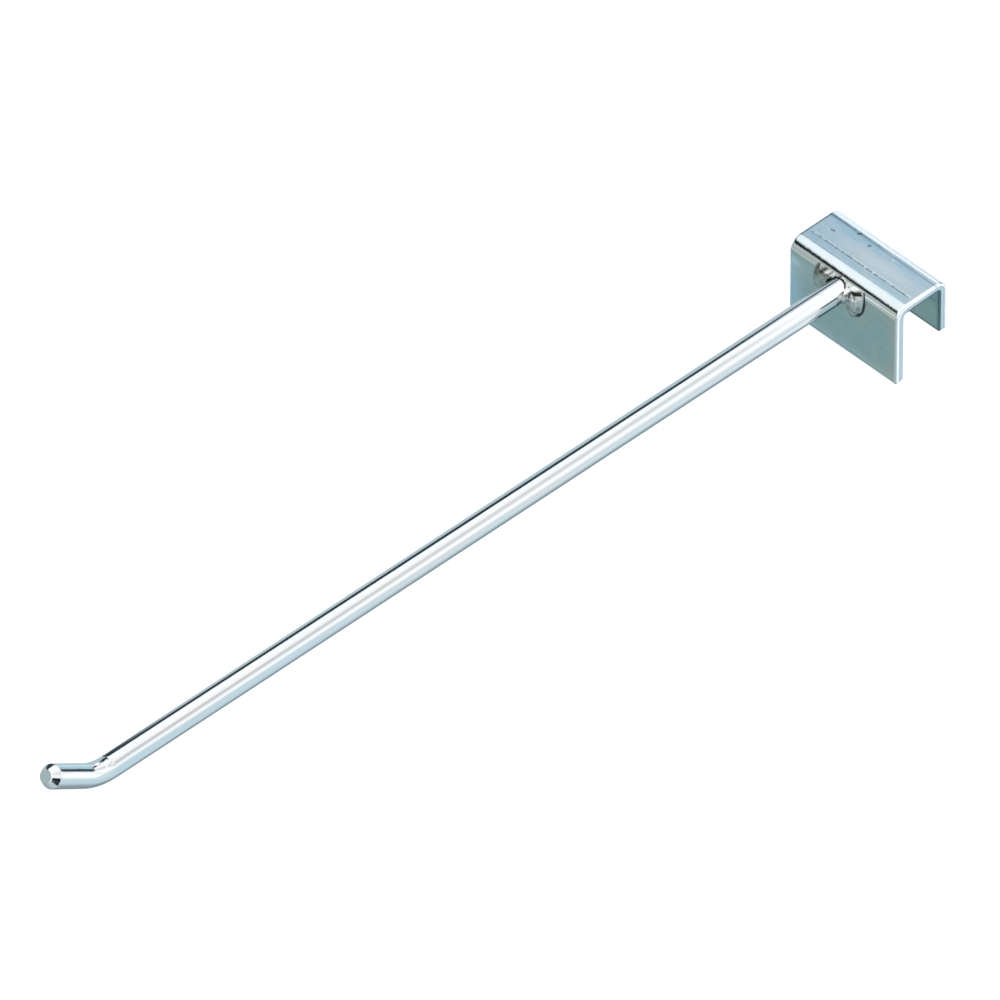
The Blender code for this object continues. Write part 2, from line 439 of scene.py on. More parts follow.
def makeSaddle():
    edge = look["rolloverInset"] * (1 - math.sin(look["rolloverStart"]))
    alongStops = alongTheBlank(edge)
    halfGrid = saddleWidth / 2 - edge
    acrossStops = spacedStops([(-halfGrid, halfGrid, look["acrossStep"])])
    rows, columns = len(alongStops), len(acrossStops)
    share = (alongStops - edge) / (blankLength - 2 * edge)
    acrossShare = acrossStops / halfGrid

    def spread(inset):
        # The grid's stops, stretched or shrunk to end at this inset from the blank's outline
        sideInset = np.where(acrossShare < 0, look["leftRollover"] * inset, inset)
        return (acrossShare * (saddleWidth / 2 - sideInset), inset + share * (blankLength - 2 * inset))

    points, places, tornShares = [], [], []

    def addPoints(x, along, depth, torn=0):
        folded, flatX, flatAlong = foldedPoints(x, along, depth)
        first = sum(len(part) for part in points)
        points.append(folded.reshape(-1, 3))
        places.append(np.stack([flatX, flatAlong, depth], axis=-1).reshape(-1, 3) / mm)
        tornShares.append(np.full(x.size, torn))
        return first

    gridX, gridAlong = np.meshgrid(spread(edge)[0], alongStops)
    outerFirst = addPoints(gridX, gridAlong, outerRelief(gridX, gridAlong))
    innerX, innerAlong = np.meshgrid(*spread(look["innerInset"]))
    innerFirst = addPoints(innerX, innerAlong, np.full(innerX.shape, look["sheetThickness"]))

    walk = walkRound(rows, columns)
    walkRows = np.array([r for r, c in walk])
    walkColumns = np.array([c for r, c in walk])
    rings = [[outerFirst + r * columns + c for r, c in walk]]
    for inset, depth, torn in rimProfile():
        xs, alongs = spread(inset)
        ringX, ringAlong = xs[walkColumns], alongs[walkRows]
        if torn:
            rough = np.array([noise.noise(Vector((px, pa, depth)) / look["tearSize"])
                              for px, pa in zip(ringX, ringAlong)])
            pull = np.clip(look["tear"] * rough, -inset * look["leftRollover"], look["tear"])
            onEnds = (walkColumns == 0) | (walkColumns == columns - 1)
            ringX = ringX - np.sign(ringX) * np.where(onEnds, pull, 0)
            feet = (walkRows == 0).astype(float) - (walkRows == rows - 1)
            ringAlong = ringAlong + feet * pull
        sunk = depth + topFall(ringAlong) * max(1 - depth / look["burnished"], 0)
        first = addPoints(ringX, ringAlong, sunk, torn)
        rings.append(list(range(first, first + len(walk))))
    rings.append([innerFirst + r * columns + c for r, c in walk])

    faces, faceMaterials = saddleFaces(rows, columns, outerFirst, innerFirst, rings)
    materials = [makeSheetZinc(), makeShearedZinc()]
    allPoints = np.concatenate(points)
    saddle = addPiece("folded_saddle", allPoints, faces, materials, 50, faceMaterials)
    flat = np.concatenate(places)
    stored = {
        "blankPlace": flat,
        "patchSum": patchSum(flat, look["tints"]),
        # painted highlights
        "paintedHighlight": patchSum(flat, look["highlightBands"]),
        # painted shade and painted highlights on the top and the rims, and a few marks
        "paintedShadingAndMarks": paintedShadingAndMarks(flat),
        # where the inner side's painted shade lies
        "innerShadeShare": flat[:, 2] > look["innerFrom"],
        "weldHeat": weldHeat(allPoints),
        "tornShare": np.concatenate(tornShares)}
    for name, values in stored.items():
        storeAttribute(saddle.data, name, values)
    return saddle


def lineShade(distance, line):
    amount, offset, half = line
    return amount * softHill(distance - offset, half)


def lineDashes(x):
    dashes = np.array([sum(amount * noise.noise(Vector((px * scale, seed, 0)))
                           for scale, seed, amount in look["dashNoise"]) for px in x])
    middle, contrast, least = look["dashes"]
    return np.clip(middle + contrast * dashes, least, 1)


def paintedShadingAndMarks(flat):
    # The die line gets painted shade in front and a painted highlight behind, broken into dashes
    x, along, depth = flat[:, 0], flat[:, 1], flat[:, 2]
    back = along - topStart / mm
    fromLine = back - look["dieLineBehindFold"] / mm
    endGap = (saddleWidth / 2 - look["dieLineEndGap"]) / mm
    ends = np.clip(endGap - np.abs(x), 0, look["dashEndFade"]) / look["dashEndFade"]
    dashes = lineDashes(x)
    level, least = look["glintDashes"]
    marks = lineShade(fromLine, look["dieLineShade"]) * ends * dashes
    marks += lineShade(fromLine, look["dieLineGlint"]) * ends * np.clip(level - dashes, least, 1)
    for spotX, spotBack, size, amount in look["paintedShadingAndMarks"]:
        away = np.hypot(x - spotX, back + foldRadius / mm - spotBack)
        marks += amount * softHill(away, size)
    # Painted shade along the rear fold and at the top's left end
    first, last = look["leftEdgeEnds"]
    onTop = (back > first) & (back < topRun / mm + last)
    marks += lineShade(x + saddleWidth / 2 / mm, look["leftEdgeShade"]) * onTop
    marks += lineShade(back - topRun / mm, look["rearEdgeShade"])
    marks = np.where(depth < look["outerTo"], np.clip(marks, -1, 1), 0)
    # Painted shadow of the burr along the inner side's rim, and painted shade in the rear fold's
    # hollow
    fromRim = np.minimum(along, blankLength / mm - along)
    fromRim = np.minimum(fromRim, saddleWidth / 2 / mm - np.abs(x))
    rearMiddle = (rearStart - arcRun / 2) / mm
    inner = np.minimum(lineShade(fromRim, look["burrShade"]),
                       lineShade(along - rearMiddle, look["hollowShade"]))
    marks = np.where(depth > look["innerFrom"], inner, marks)
    # Painted shadow of the burr, low on the torn edge
    amount, upper, lower, behind = look["burrShadowLine"]
    return np.where((depth > upper) & (depth < lower) & (back > behind), amount, marks)


# Sums soft patches: used for the tint and for the painted highlights
def patchSum(flat, patches):
    tint = np.zeros(len(flat))
    for x, along, sizeX, sizeAlong, amount in patches:
        tint += amount * softHill(flat[:, 0] - x, sizeX) * softHill(flat[:, 1] - along, sizeAlong)
    return np.where(flat[:, 2] < look["outerTo"], tint, 0)


def weldHeat(points):
    x = points[:, 0] - look["heatCentre"][0]
    z = points[:, 2] - (prongRoot.z + look["heatCentre"][1])
    onFront = points[:, 1] < saddleLow.y + look["foldInnerRadius"]
    return np.where(onFront, softHill(np.hypot(x, z * look["heatSquash"]), look["heatReach"]), 0)


def makeSheetZinc():
    material, tree, shader = startZinc("bright zinc on the folded sheet")
    cloud, grain, speckle = addNoises(tree, "blankPlace", look["noises"])
    drift = calculate(tree, "ADD", readAttribute(tree, "patchSum"),
                      mapValue(tree, cloud, *noiseRange, -look["cloudTint"], look["cloudTint"]))
    drift = calculate(tree, "ADD", drift,
                      mapValue(tree, grain, *noiseRange, -look["grainTint"], look["grainTint"]))
    colour = addRamp(tree, mapValue(tree, drift, -1, 1, 0, 1), look["tintColours"])
    # Painted highlights, with the grain's random lightening
    light = calculate(tree, "ADD", readAttribute(tree, "paintedHighlight"),
                      mapValue(tree, grain, *noiseCore, -look["grainLight"], look["grainLight"]))
    colour = mixColours(tree, light, colour, look["highlightZinc"])
    # Painted shade on the inner side
    inner = calculate(tree, "MULTIPLY", readAttribute(tree, "innerShadeShare"), look["innerShadeAmount"])
    colour = mixColours(tree, inner, colour, look["innerShadeColour"])
    # Painted shade and painted highlights on the top and the rims, and a few marks
    colour = mixMarks(tree, readAttribute(tree, "paintedShadingAndMarks"), colour, look["glintAndMarkBright"],
                      look["shadeAndMarkDark"])
    heat = readAttribute(tree, "weldHeat")
    haze = calculate(tree, "MULTIPLY", heat, mapValue(tree, speckle, *noiseCore, *look["heatSpeckle"]))
    haze = calculate(tree, "MULTIPLY", haze, look["heatAmount"])
    colour = mixColours(tree, haze, colour, look["heatTint"])
    rough = calculate(tree, "ADD", mapValue(tree, grain, *noiseRange, *look["roughness"]),
                      calculate(tree, "MULTIPLY", heat, look["heatRoughness"]))
    finishZinc(tree, shader, colour, rough, (cloud, grain, speckle), look["bumps"])
    return material


def makeShearedZinc():
    material, tree, shader = startZinc("zinc over the sheared edge")
    patches, scores = addNoises(tree, "blankPlace", look["edgeNoises"])
    torn = readAttribute(tree, "tornShare")
    bright = mixColours(tree, mapValue(tree, patches, *look["shearedPatches"]),
                        look["shearedColour"], look["shearedBlue"])
    colour = mixColours(tree, torn, bright, look["tornColour"])
    # Painted shadow of the burr, with the rims' other painted shade
    burrShadow = calculate(tree, "MULTIPLY", readAttribute(tree, "paintedShadingAndMarks"), -1.0)
    colour = mixColours(tree, burrShadow, colour, look["burrShadowColour"])
    rough = mapValue(tree, torn, 0, 1, *look["edgeRoughness"])
    finishZinc(tree, shader, colour, rough, (patches, scores), look["edgeBumps"])
    return material


# Prong: drawn round rod, bent up near its end, its tip chamfered

prongLook = {
    "rodDiameter": 6.0 * mm,
    "rise": math.radians(2.4),
    "tipRise": math.radians(34.5),
    "rootGap": 0.3 * mm,
    "belowTop": 4.3 * mm,
    "reach": 244.2 * mm,  # from the leg to the bend's corner, along the rod
    "tipLength": 19.0 * mm,
    "bendRadius": 16.0 * mm,
    "chamferLength": 2.1 * mm,
    "faceDiameter": 3.4 * mm,
    "edgeRounding": 0.22 * mm,
    "sides": 96,
    "straightStep": 1.3 * mm,
    "bendStep": 0.3 * mm,
    "roundingSteps": 6,
    "intoLeg": 0.2 * mm,  # the root runs a little into the weld
    # Mesh: close steps before and after the bend, last plain step before the chamfer
    "meshMargins": (3.0 * mm, 2.0 * mm, 1.0 * mm),
    # The bend's inner side is flattened: from, to, depth, abruptness, power by which it fades
    "kink": (0.1, 1.9, 0.2, 0.35, 1.5),
    "bendFlatten": (0.025, 0.7),  # share of the section lost in the bend's plane, reach in arcs
    # Marks of the bending tool: millimetres from the bend's start, degrees from the top, size, depth
    "marks": [(0.7, -28, 0.55, 0.12), (0.7, 30, 0.45, 0.12), (5.5, 170, 0.5, 0.1)],
    "colourCool": (0.87, 0.925, 0.95),
    "colourWarm": (0.92, 0.93, 0.93),
    "roughness": (0.07, 0.13),
    # Cloud, drawing marks and speckle of the plating
    "noises": [(0.2, 3, (1, 1, 0.25)), (2.6, 3, (1, 1, 0.02)), (3.2, 2)],
    "bumps": [(0.15, 0.08 * mm), (0.12, 0.008 * mm), (0.1, 0.004 * mm)],
}

rodRadius = prongLook["rodDiameter"] / 2
prongRoot = Vector(((prongLow.x + prongHigh.x) / 2, prongHigh.y,
                    saddleHigh.z - prongLook["belowTop"]))


def roundedTip():
    # (advance, radius) from the end of the plain rod to the middle of its face, edges rounded
    length = prongLook["chamferLength"]
    faceRadius = prongLook["faceDiameter"] / 2
    corners = [Vector((-2 * mm, rodRadius)), Vector((0, rodRadius)), Vector((length, faceRadius)),
               Vector((length, 0))]
    cut, steps = prongLook["edgeRounding"], prongLook["roundingSteps"]
    profile = []
    for before, corner, after in zip(corners, corners[1:], corners[2:]):
        start = corner + (before - corner).normalized() * cut
        end = corner + (after - corner).normalized() * cut
        for share in (step / steps for step in range(steps + 1)):
            profile.append(start * (1 - share) ** 2 + corner * 2 * share * (1 - share)
                           + end * share ** 2)
    return profile + [Vector((length, faceRadius * share)) for share in (0.55, 0.15)]


def centreLine():
    # Stations along the rod: (centre, direction, radius, distance from the bend's start)
    values = prongLook
    rise, bend = values["rise"], values["bendRadius"]
    turn = values["tipRise"] - rise
    tangent = bend * math.tan(turn / 2)
    straight = values["reach"] - values["rootGap"] - tangent
    arc = bend * turn
    tipPlain = values["tipLength"] - tangent - values["chamferLength"]

    def placeAt(distance):
        angle = min(max((distance - straight) / bend, 0), turn)
        beyond = max(distance - straight - arc, 0)
        out = min(distance, straight) + bend * math.sin(angle) + beyond * math.cos(turn)
        up = bend * (1 - math.cos(angle)) + beyond * math.sin(turn)
        centre = prongRoot + Vector((0, -out * math.cos(rise) + up * math.sin(rise),
                                     out * math.sin(rise) + up * math.cos(rise)))
        heading = rise + angle
        return centre, Vector((0, -math.cos(heading), math.sin(heading)))

    before, after, beforeChamfer = values["meshMargins"]
    bendFrom, bendTo = straight - before, straight + arc + after
    distances = spacedStops([
        (-values["intoLeg"] - values["rootGap"], bendFrom, values["straightStep"]),
        (bendFrom, bendTo, values["bendStep"]),
        (bendTo, straight + arc + tipPlain - beforeChamfer, values["straightStep"])])
    stations = [(*placeAt(d), rodRadius, d - straight) for d in distances]
    tipStart = straight + arc + tipPlain
    for advance, radius in roundedTip():
        stations.append((*placeAt(tipStart + advance), radius, tipStart + advance - straight))
    return stations, arc


def kinkDepth(fromBend):
    # The bending tool's edge flattened the inner side, abruptly towards the rod
    start, end, deep, abrupt, power = prongLook["kink"]
    at = fromBend / mm
    opening = min(max((at - start) / abrupt, 0), 1)
    closing = min(max((end - at) / (end - start), 0), 1)
    return deep * mm * opening * closing ** power


def toolDent(turn, fromBend, radius):
    dent = 0
    for markAt, markTurn, size, depth in prongLook["marks"]:
        aside = abs((math.degrees(turn) - markTurn + 180) % 360 - 180)
        away = math.hypot(fromBend - markAt * mm, aside * math.pi / 180 * radius) / (size * mm)
        dent += depth * mm * math.exp(-away ** 2)
    return dent


def makeProng():
    values = prongLook
    stations, arc = centreLine()
    sides = values["sides"]
    flatten, reach = values["bendFlatten"]
    sideways = Vector((1, 0, 0))
    points, places = [], []
    for centre, heading, radius, fromBend in stations:
        upward = heading.cross(sideways)
        bendShare = math.exp(-((fromBend - arc / 2) / (arc * reach)) ** 2)
        for side in range(sides):
            turn = 2 * math.pi * side / sides
            across = math.sin(turn) * radius
            over = math.cos(turn) * radius * (1 - flatten * bendShare)
            over = min(over, radius - kinkDepth(fromBend))
            shrink = 1 - toolDent(turn, fromBend, radius) / max(radius, mm)
            points.append(centre + (sideways * across + upward * over) * shrink)
            places.append((across / mm, math.cos(turn) * radius / mm, fromBend / mm))
    faces = []
    for ring in range(len(stations) - 1):
        for side in range(sides):
            following = (side + 1) % sides
            near, far = ring * sides, (ring + 1) * sides
            faces.append((near + side, near + following, far + following, far + side))
    faces.append(tuple(range(sides)))
    faces.append(tuple(range(len(points) - sides, len(points)))[::-1])
    prong = addPiece("round_prong", points, faces, [makeRodZinc()], 35)
    storeAttribute(prong.data, "rodPlace", np.array(places))
    return prong


def makeRodZinc():
    values = prongLook
    material, tree, shader = startZinc("bright zinc on the drawn rod")
    noises = addNoises(tree, "rodPlace", values["noises"])
    cloud, speckle = noises[0], noises[-1]
    colour = mixColours(tree, mapValue(tree, cloud, *noiseCore, 0, 1), values["colourCool"],
                        values["colourWarm"])
    rough = mapValue(tree, speckle, *noiseRange, *values["roughness"])
    finishZinc(tree, shader, colour, rough, noises, values["bumps"])
    return material


# Weld beads: one run of weld metal on each side of the rod

beadLook = {
    # Everything in millimetres from the rod's axis, seen along the rod; degrees from straight up
    "left": {
        "side": -1, "seed": 3.0, "collar": 3.7,
        "outline": [(0, 4.3), (25, 4.9), (45, 6.6), (64, 7.8), (85, 9.1), (102, 9.4), (120, 8.9),
                    (136, 7.4), (155, 5.0), (170, 3.7), (180, 3.3)],
        # How far the weld climbs along the rod
        "climb": [(0, 0.9), (35, 0.9), (70, 2.8), (110, 3.0), (150, 1.0), (180, 0.5)],
        # Mounds: middle x and z, half sizes, height
        "mounds": [(-5.2, -0.8, 4.2, 4.8, 1.45)],
        # Flecks, partly painted highlights and painted shade: from x, z to x, z, half width, amount
        # (dark below zero, pale above)
        "shadeAndGlintFlecks": [(-7.6, 1.6, -3.4, 2.4, 0.9, -0.45), (-6.4, 0.8, -4.0, 1.4, 0.5, -0.25),
                   (-5.7, 2.3, -5.2, 2.6, 0.36, -0.9), (-4.5, 2.4, -3.9, 2.7, 0.28, 0.6),
                   (-2.9, 2.3, -2.6, 2.6, 0.28, 0.6), (-2.75, 1.7, -2.5, 2.1, 0.38, -1.0),
                   (-9.1, -1.6, -8.9, -3.2, 0.3, 0.8), (-8.2, -4.2, -7.9, -4.6, 0.35, -0.4),
                   (-7.9, 2.0, -8.6, 0.6, 0.45, -0.25), (-6.6, 3.1, -7.4, 2.4, 0.3, -0.3)],
        "toeShade": []},
    "right": {
        "side": 1, "seed": 8.0, "collar": 4.2,
        "outline": [(0, 4.3), (25, 4.5), (45, 5.4), (58, 7.1), (66, 7.7), (75, 7.9), (99, 7.9),
                    (120, 8.0), (135, 7.9), (151, 6.7), (165, 4.7), (180, 3.4)],
        "climb": [(0, 0.9), (35, 0.9), (65, 1.8), (90, 2.6), (130, 1.8), (160, 0.8), (180, 0.5)],
        "mounds": [(5.45, -1.7, 2.75, 4.1, 1.9), (4.9, 2.6, 2.3, 0.9, 0.9)],
        "shadeAndGlintFlecks": [(3.7, -2.9, 4.4, -4.0, 0.28, -0.6), (4.4, -4.1, 6.4, -4.55, 0.34, -1.0),
                   (6.4, -4.6, 7.6, -3.2, 0.3, -1.0),
                   (4.3, 2.05, 6.7, 2.45, 0.4, -1.0), (3.7, 1.5, 3.9, 0.9, 0.42, -0.85),
                   (2.7, 1.6, 4.0, 2.8, 0.4, 0.95), (4.0, 2.85, 6.4, 3.3, 0.34, 0.95),
                   (6.5, 3.3, 7.3, 2.4, 0.28, 0.6), (3.1, 0.2, 3.3, -2.8, 0.3, 0.3),
                   (5.9, 0.6, 6.2, -1.2, 0.75, 0.55), (6.0, -3.2, 6.7, -3.6, 0.38, 0.7),
                   (4.1, -1.6, 4.3, -2.2, 0.35, -0.4), (7.0, -0.6, 7.0, -1.6, 0.28, -0.35),
                   (3.6, 3.3, 5.2, 3.6, 0.22, -0.25)],
        # Painted shade along the toe: from degrees to degrees, starting share of the reach, amount
        "toeShade": [(68, 112, 0.93, -0.95), (112, 164, 0.86, -1.0)]},
    "upperRim": (2.85, 80, 3.07),  # its level, the degrees it goes to, the least reach
    "belowTop": 0.05,
    # Painted shade, a dark line over the rod: degrees to each side, least height, farthest from the
    # axis
    "rodToeShade": (46, 0.62, 3.3),
    "collarPale": 0.35,
    "collarBeyond": 25,
    "fleckSoftness": 0.22,
    "leastHeight": 0.25,
    "climbFade": 0.9,
    "blendPower": 4,  # joins the mounds and the climb smoothly
    "edgeSteepness": 5,
    "wobble": (0.02, 14),  # the outline's: share, degrees
    "rough": (0.03, 0.8),  # depth, size
    "ripples": (0.03, 1.2, 0.6, 7),  # depth, spacing, squash in width, height of their centre
    "rings": 54,
    "turns": 110,
    "intoRod": 0.15,
    "intoLeg": 0.15,
    "patchColours": [(0.36, (0.42, 0.43, 0.41)), (0.5, (0.55, 0.6, 0.58)),
                     (0.66, (0.7, 0.77, 0.78))],
    # Colours of the painted shade and painted highlights, and of the flecks
    "shadeAndFleckDark": (0.02, 0.03, 0.03),
    "glintAndFleckPale": (0.95, 0.97, 0.97),
    "roughness": (0.16, 0.3),
    # Patches and speckle of the plating
    "noises": [(0.55, 4), (2.4, 3)],
    "bumps": [(0.3, 0.14 * mm), (0.2, 0.02 * mm)],
}


def readCurve(curve, at):
    return float(np.interp(at, *zip(*curve)))


def legSurface(z):
    # The saddle's outer side in front of height z above the rod's axis, in millimetres
    radius = foldRadius / mm
    above = (prongRoot.z - saddleHigh.z) / mm + z + radius
    return saddleLow.y / mm + radius - math.sqrt(max(radius ** 2 - max(above, 0) ** 2, 0.01))


def awayFrom(x, z, fleck):
    fromX, fromZ, toX, toZ = fleck[:4]
    alongX, alongZ = toX - fromX, toZ - fromZ
    share = ((x - fromX) * alongX + (z - fromZ) * alongZ) / max(alongX ** 2 + alongZ ** 2, tiny)
    share = min(max(share, 0), 1)
    return math.hypot(x - fromX - share * alongX, z - fromZ - share * alongZ)


def weldHeight(bead, x, z, turn, away, share):
    values = beadLook
    mounds = 0
    for middleX, middleZ, halfX, halfZ, tall in bead["mounds"]:
        spread = ((x - middleX) / halfX) ** 2 + ((z - middleZ) / halfZ) ** 2
        mounds = max(mounds, tall * max(1 - spread, 0) ** 0.5)
    radius = rodRadius / mm
    climb = readCurve(bead["climb"], turn) * math.exp(-max(away - radius, 0) / values["climbFade"])
    deep, size = values["rough"]
    rough = deep * noise.noise(Vector((x, z, bead["seed"])) / size)
    deep, spacing, squash, centreZ = values["ripples"]
    ripple = deep * math.cos(2 * math.pi * math.hypot(x * squash, z - centreZ) / spacing)
    power = values["blendPower"]
    joined = (mounds ** power + climb ** power) ** (1 / power)
    edge = min(1, (1 - share) * values["edgeSteepness"])
    return (joined + values["leastHeight"] + rough + ripple) * edge


# Painted shade and painted highlights of the weld: flecks, the toe and the line over the rod, and a
# paler collar
def beadShadeAndGlints(bead, x, z, turn, away, share, height):
    shade = 0
    degrees, least, far = beadLook["rodToeShade"]
    if turn < degrees + beadLook["collarBeyond"] and away < bead["collar"]:
        shade += beadLook["collarPale"]
    for fleck in bead["shadeAndGlintFlecks"]:
        half, amount = fleck[4:]
        strength = (half - awayFrom(x, z, fleck)) / beadLook["fleckSoftness"] + 0.5
        strength = min(1, max(0, strength))
        shade = shade * (1 - strength) + amount * strength
    # Painted shade along the toe
    for start, end, fromShare, amount in bead["toeShade"]:
        if start < turn < end and share > fromShare:
            shade = amount
    # Painted shade over the rod
    if turn < degrees and height > least and away < far:
        shade = -1
    return shade


def makeBead(name, bead, material):
    values = beadLook
    rings, turns = values["rings"], values["turns"]
    level, levelTo, leastReach = values["upperRim"]
    wobble, wobbleDegrees = values["wobble"]
    nearest = rodRadius / mm - values["intoRod"]
    top = (saddleHigh.z - prongRoot.z) / mm - values["belowTop"]
    front, back, shades = [], [], []
    for step in range(turns + 1):
        turn = 180 * step / turns
        reach = readCurve(bead["outline"], turn)
        if turn < levelTo:
            reach = max(min(reach, level / math.cos(math.radians(turn))), leastReach)
        reach *= 1 + wobble * noise.noise(Vector((turn / wobbleDegrees, 0, bead["seed"])))
        for ring in range(rings + 1):
            away = nearest + (reach - nearest) * ring / rings
            x = bead["side"] * away * math.sin(math.radians(turn))
            z = min(away * math.cos(math.radians(turn)), top)
            share = max(0, (away - rodRadius / mm) / (reach - rodRadius / mm))
            height = weldHeight(bead, x, z, turn, away, share)
            place = Vector((prongRoot.x / mm + x, legSurface(z), prongRoot.z / mm + z))
            front.append(place - Vector((0, height, 0)))
            back.append(place + Vector((0, values["intoLeg"], 0)))
            shades.append(beadShadeAndGlints(bead, x, z, turn, away, share, height))
    points = front + back
    count, stride = len(front), rings + 1
    faces = []
    for step in range(turns):
        for ring in range(rings):
            corner = step * stride + ring
            quad = (corner, corner + 1, corner + stride + 1, corner + stride)
            faces.append(quad)
            faces.append(tuple(count + index for index in reversed(quad)))
    rim = list(range(rings)) + [step * stride + rings for step in range(turns)]
    rim += [turns * stride + ring for ring in range(rings, 0, -1)]
    rim += [step * stride for step in range(turns, 0, -1)]
    for this, following in zip(rim, rim[1:] + rim[:1]):
        faces.append((following, this, this + count, following + count))
    piece = addPiece(name, [point * mm for point in points], faces, [material], 60)
    storeAttribute(piece.data, "beadPlace", np.array([tuple(point) for point in points]))
    # painted shade and painted highlights of the weld
    storeAttribute(piece.data, "beadShade", np.array(shades + shades))
    return piece


def makeWeldZinc():
    values = beadLook
    material, tree, shader = startZinc("zinc over the weld metal")
    patches, speckle = addNoises(tree, "beadPlace", values["noises"])
    colour = addRamp(tree, patches, values["patchColours"])
    # Painted shade and painted highlights, and the flecks
    colour = mixMarks(tree, readAttribute(tree, "beadShade"), colour, values["glintAndFleckPale"],
                      values["shadeAndFleckDark"])
    rough = mapValue(tree, speckle, *noiseRange, *values["roughness"])
    finishZinc(tree, shader, colour, rough, (patches, speckle), values["bumps"])
    return material


# Studio: a light tent that lies along the prong, a pale floor, a white world and the camera

tentLook = {
    "radius": 0.5,
    "halfLength": 1.2,
    "strength": 1.2,
    "sides": 64,
    # Where along the tent the seams pass from spread to close, half width, most degrees, middle
    "squeeze": (0.17, 0.114, 9.0, 104.0),
    "blend": (-0.22, -0.05),  # the front seams pass into the back ones between these places
    # Degrees round the tent's axis, from the right over the top, and colours: behind the middle
    "backSeams": [
        (-180, 0.38, 0.48, 0.52), (-150, 0.42, 0.52, 0.56), (-110, 0.22, 0.29, 0.31),
        (-90, 0.16, 0.21, 0.23), (-75, 0.23, 0.29, 0.32), (-62, 0.34, 0.41, 0.44),
        (-43, 0.5, 0.59, 0.63), (-27, 0.61, 0.7, 0.74), (-13, 0.58, 0.64, 0.66),
        (0, 0.61, 0.63, 0.65), (13, 0.78, 0.79, 0.8), (20, 0.9, 0.9, 0.91),
        (30, 0.9, 0.9, 0.9), (37, 0.84, 0.84, 0.84), (44, 0.68, 0.67, 0.67),
        (52, 0.62, 0.61, 0.61), (58, 0.6, 0.59, 0.59), (64, 0.62, 0.61, 0.61),
        (71, 0.74, 0.73, 0.73), (83, 0.85, 0.84, 0.84), (95, 0.88, 0.88, 0.88),
        (124, 0.9, 0.9, 0.9), (129.5, 0.88, 0.89, 0.9), (133.5, 0.015, 0.028, 0.035),
        (158, 0.015, 0.028, 0.035), (165, 0.34, 0.43, 0.47), (172, 0.43, 0.54, 0.58),
        (180, 0.38, 0.48, 0.52)],
    # The same in front of the hook's middle
    "frontSeams": [
        (-180, 0.36, 0.39, 0.36), (-157, 0.34, 0.38, 0.35), (-140, 0.26, 0.32, 0.3),
        (-126, 0.22, 0.3, 0.29), (-110, 0.24, 0.32, 0.32), (-60, 0.42, 0.5, 0.52),
        (0, 0.75, 0.78, 0.8), (60, 0.88, 0.88, 0.88), (117, 0.88, 0.88, 0.88),
        (119, 0.8, 0.84, 0.84), (120.5, 0.002, 0.005, 0.005), (129, 0.002, 0.005, 0.005),
        (132, 0.3, 0.31, 0.29), (137, 0.5, 0.51, 0.47), (160, 0.38, 0.4, 0.37),
        (180, 0.36, 0.39, 0.36)],
    # Cards hung inside: degrees, half width, place along, half width, softness of both, colour
    "cards": [
        (57, 5, 0.09, 0.07, 8, 0.1, 0.44, 0.45, 0.46),  # grey streak far down the rod
        (-25, 38, 0.02, 0.1, 24, 0.12, 0.47, 0.6, 0.66),
        (148, 18, 0.66, 0.24, 3, 0.03, 0.95, 0.95, 0.96),  # rear fold
        (-165, 22, 0.79, 0.07, 3, 0.03, 0.95, 0.95, 0.96),
        (-165, 27, 1.06, 0.17, 4, 0.04, 0.36, 0.54, 0.63),  # sky blue over the tip
        (-160, 16, 0.54, 0.14, 6, 0.06, 0.36, 0.54, 0.63),
        (-138, 13, 0.7, 0.11, 3, 0.03, 0.95, 0.95, 0.96),  # low on the rear fold
        (42, 76, 0.356, 0.04, 3, 0.008, 0.93, 0.93, 0.94),  # rolled rims
        (131, 5.5, 0.375, 0.06, 2, 0.02, 0.5, 0.62, 0.72),  # rear of the top
        (128, 10, 0.366, 0.05, 2, 0.008, 0.51, 0.57, 0.62),  # the top
        (-56, 26, 0.45, 0.17, 5, 0.02, 0.92, 0.95, 0.97),  # the sheared ends
        (-90, 20, -0.25, 0.08, 5, 0.03, 0.02, 0.03, 0.035),  # dark line under the root
        (4, 16, -0.33, 0.1, 6, 0.04, 0.01, 0.018, 0.02),  # the chamfer's dark patch
        (-25, 15, -0.425, 0.06, 6, 0.03, 0.01, 0.018, 0.02),
        (172, 22, 0.02, 0.05, 4, 0.02, 0.02, 0.035, 0.04),
        (-20, 22, 0.8, 0.4, 6, 0.05, 0.92, 0.93, 0.94),
        (-148, 22, -0.72, 0.15, 8, 0.12, 0.44, 0.46, 0.42),  # beige low at the front
        (-126, 14, -0.232, 0.045, 6, 0.03, 0.3, 0.43, 0.48),
        (156, 12, -1.05, 0.15, 5, 0.05, 0.32, 0.4, 0.41),  # the tip's face
    ],
    # The dark opening at the tent's rear end: size in degrees, edge in shares of it
    "openingColour": (0.02, 0.04, 0.06),
    "openingDirection": (0.085, 0.996, 0.018),
    "openingSize": 8.5,
    "openingEdge": (1.3, 0.8),
}


def makeTent():
    values = tentLook
    bm = bmesh.new()
    bmesh.ops.create_cone(bm, cap_ends=True, segments=values["sides"], radius1=values["radius"],
                          radius2=values["radius"], depth=2 * values["halfLength"],
                          matrix=Matrix.Rotation(math.pi / 2, 4, "X"))
    tent = addMesh("light_tent", bm)
    tent.visible_camera = False
    tent.visible_diffuse = False
    tent.visible_shadow = False
    tent.data.materials.append(makeTentCloth())


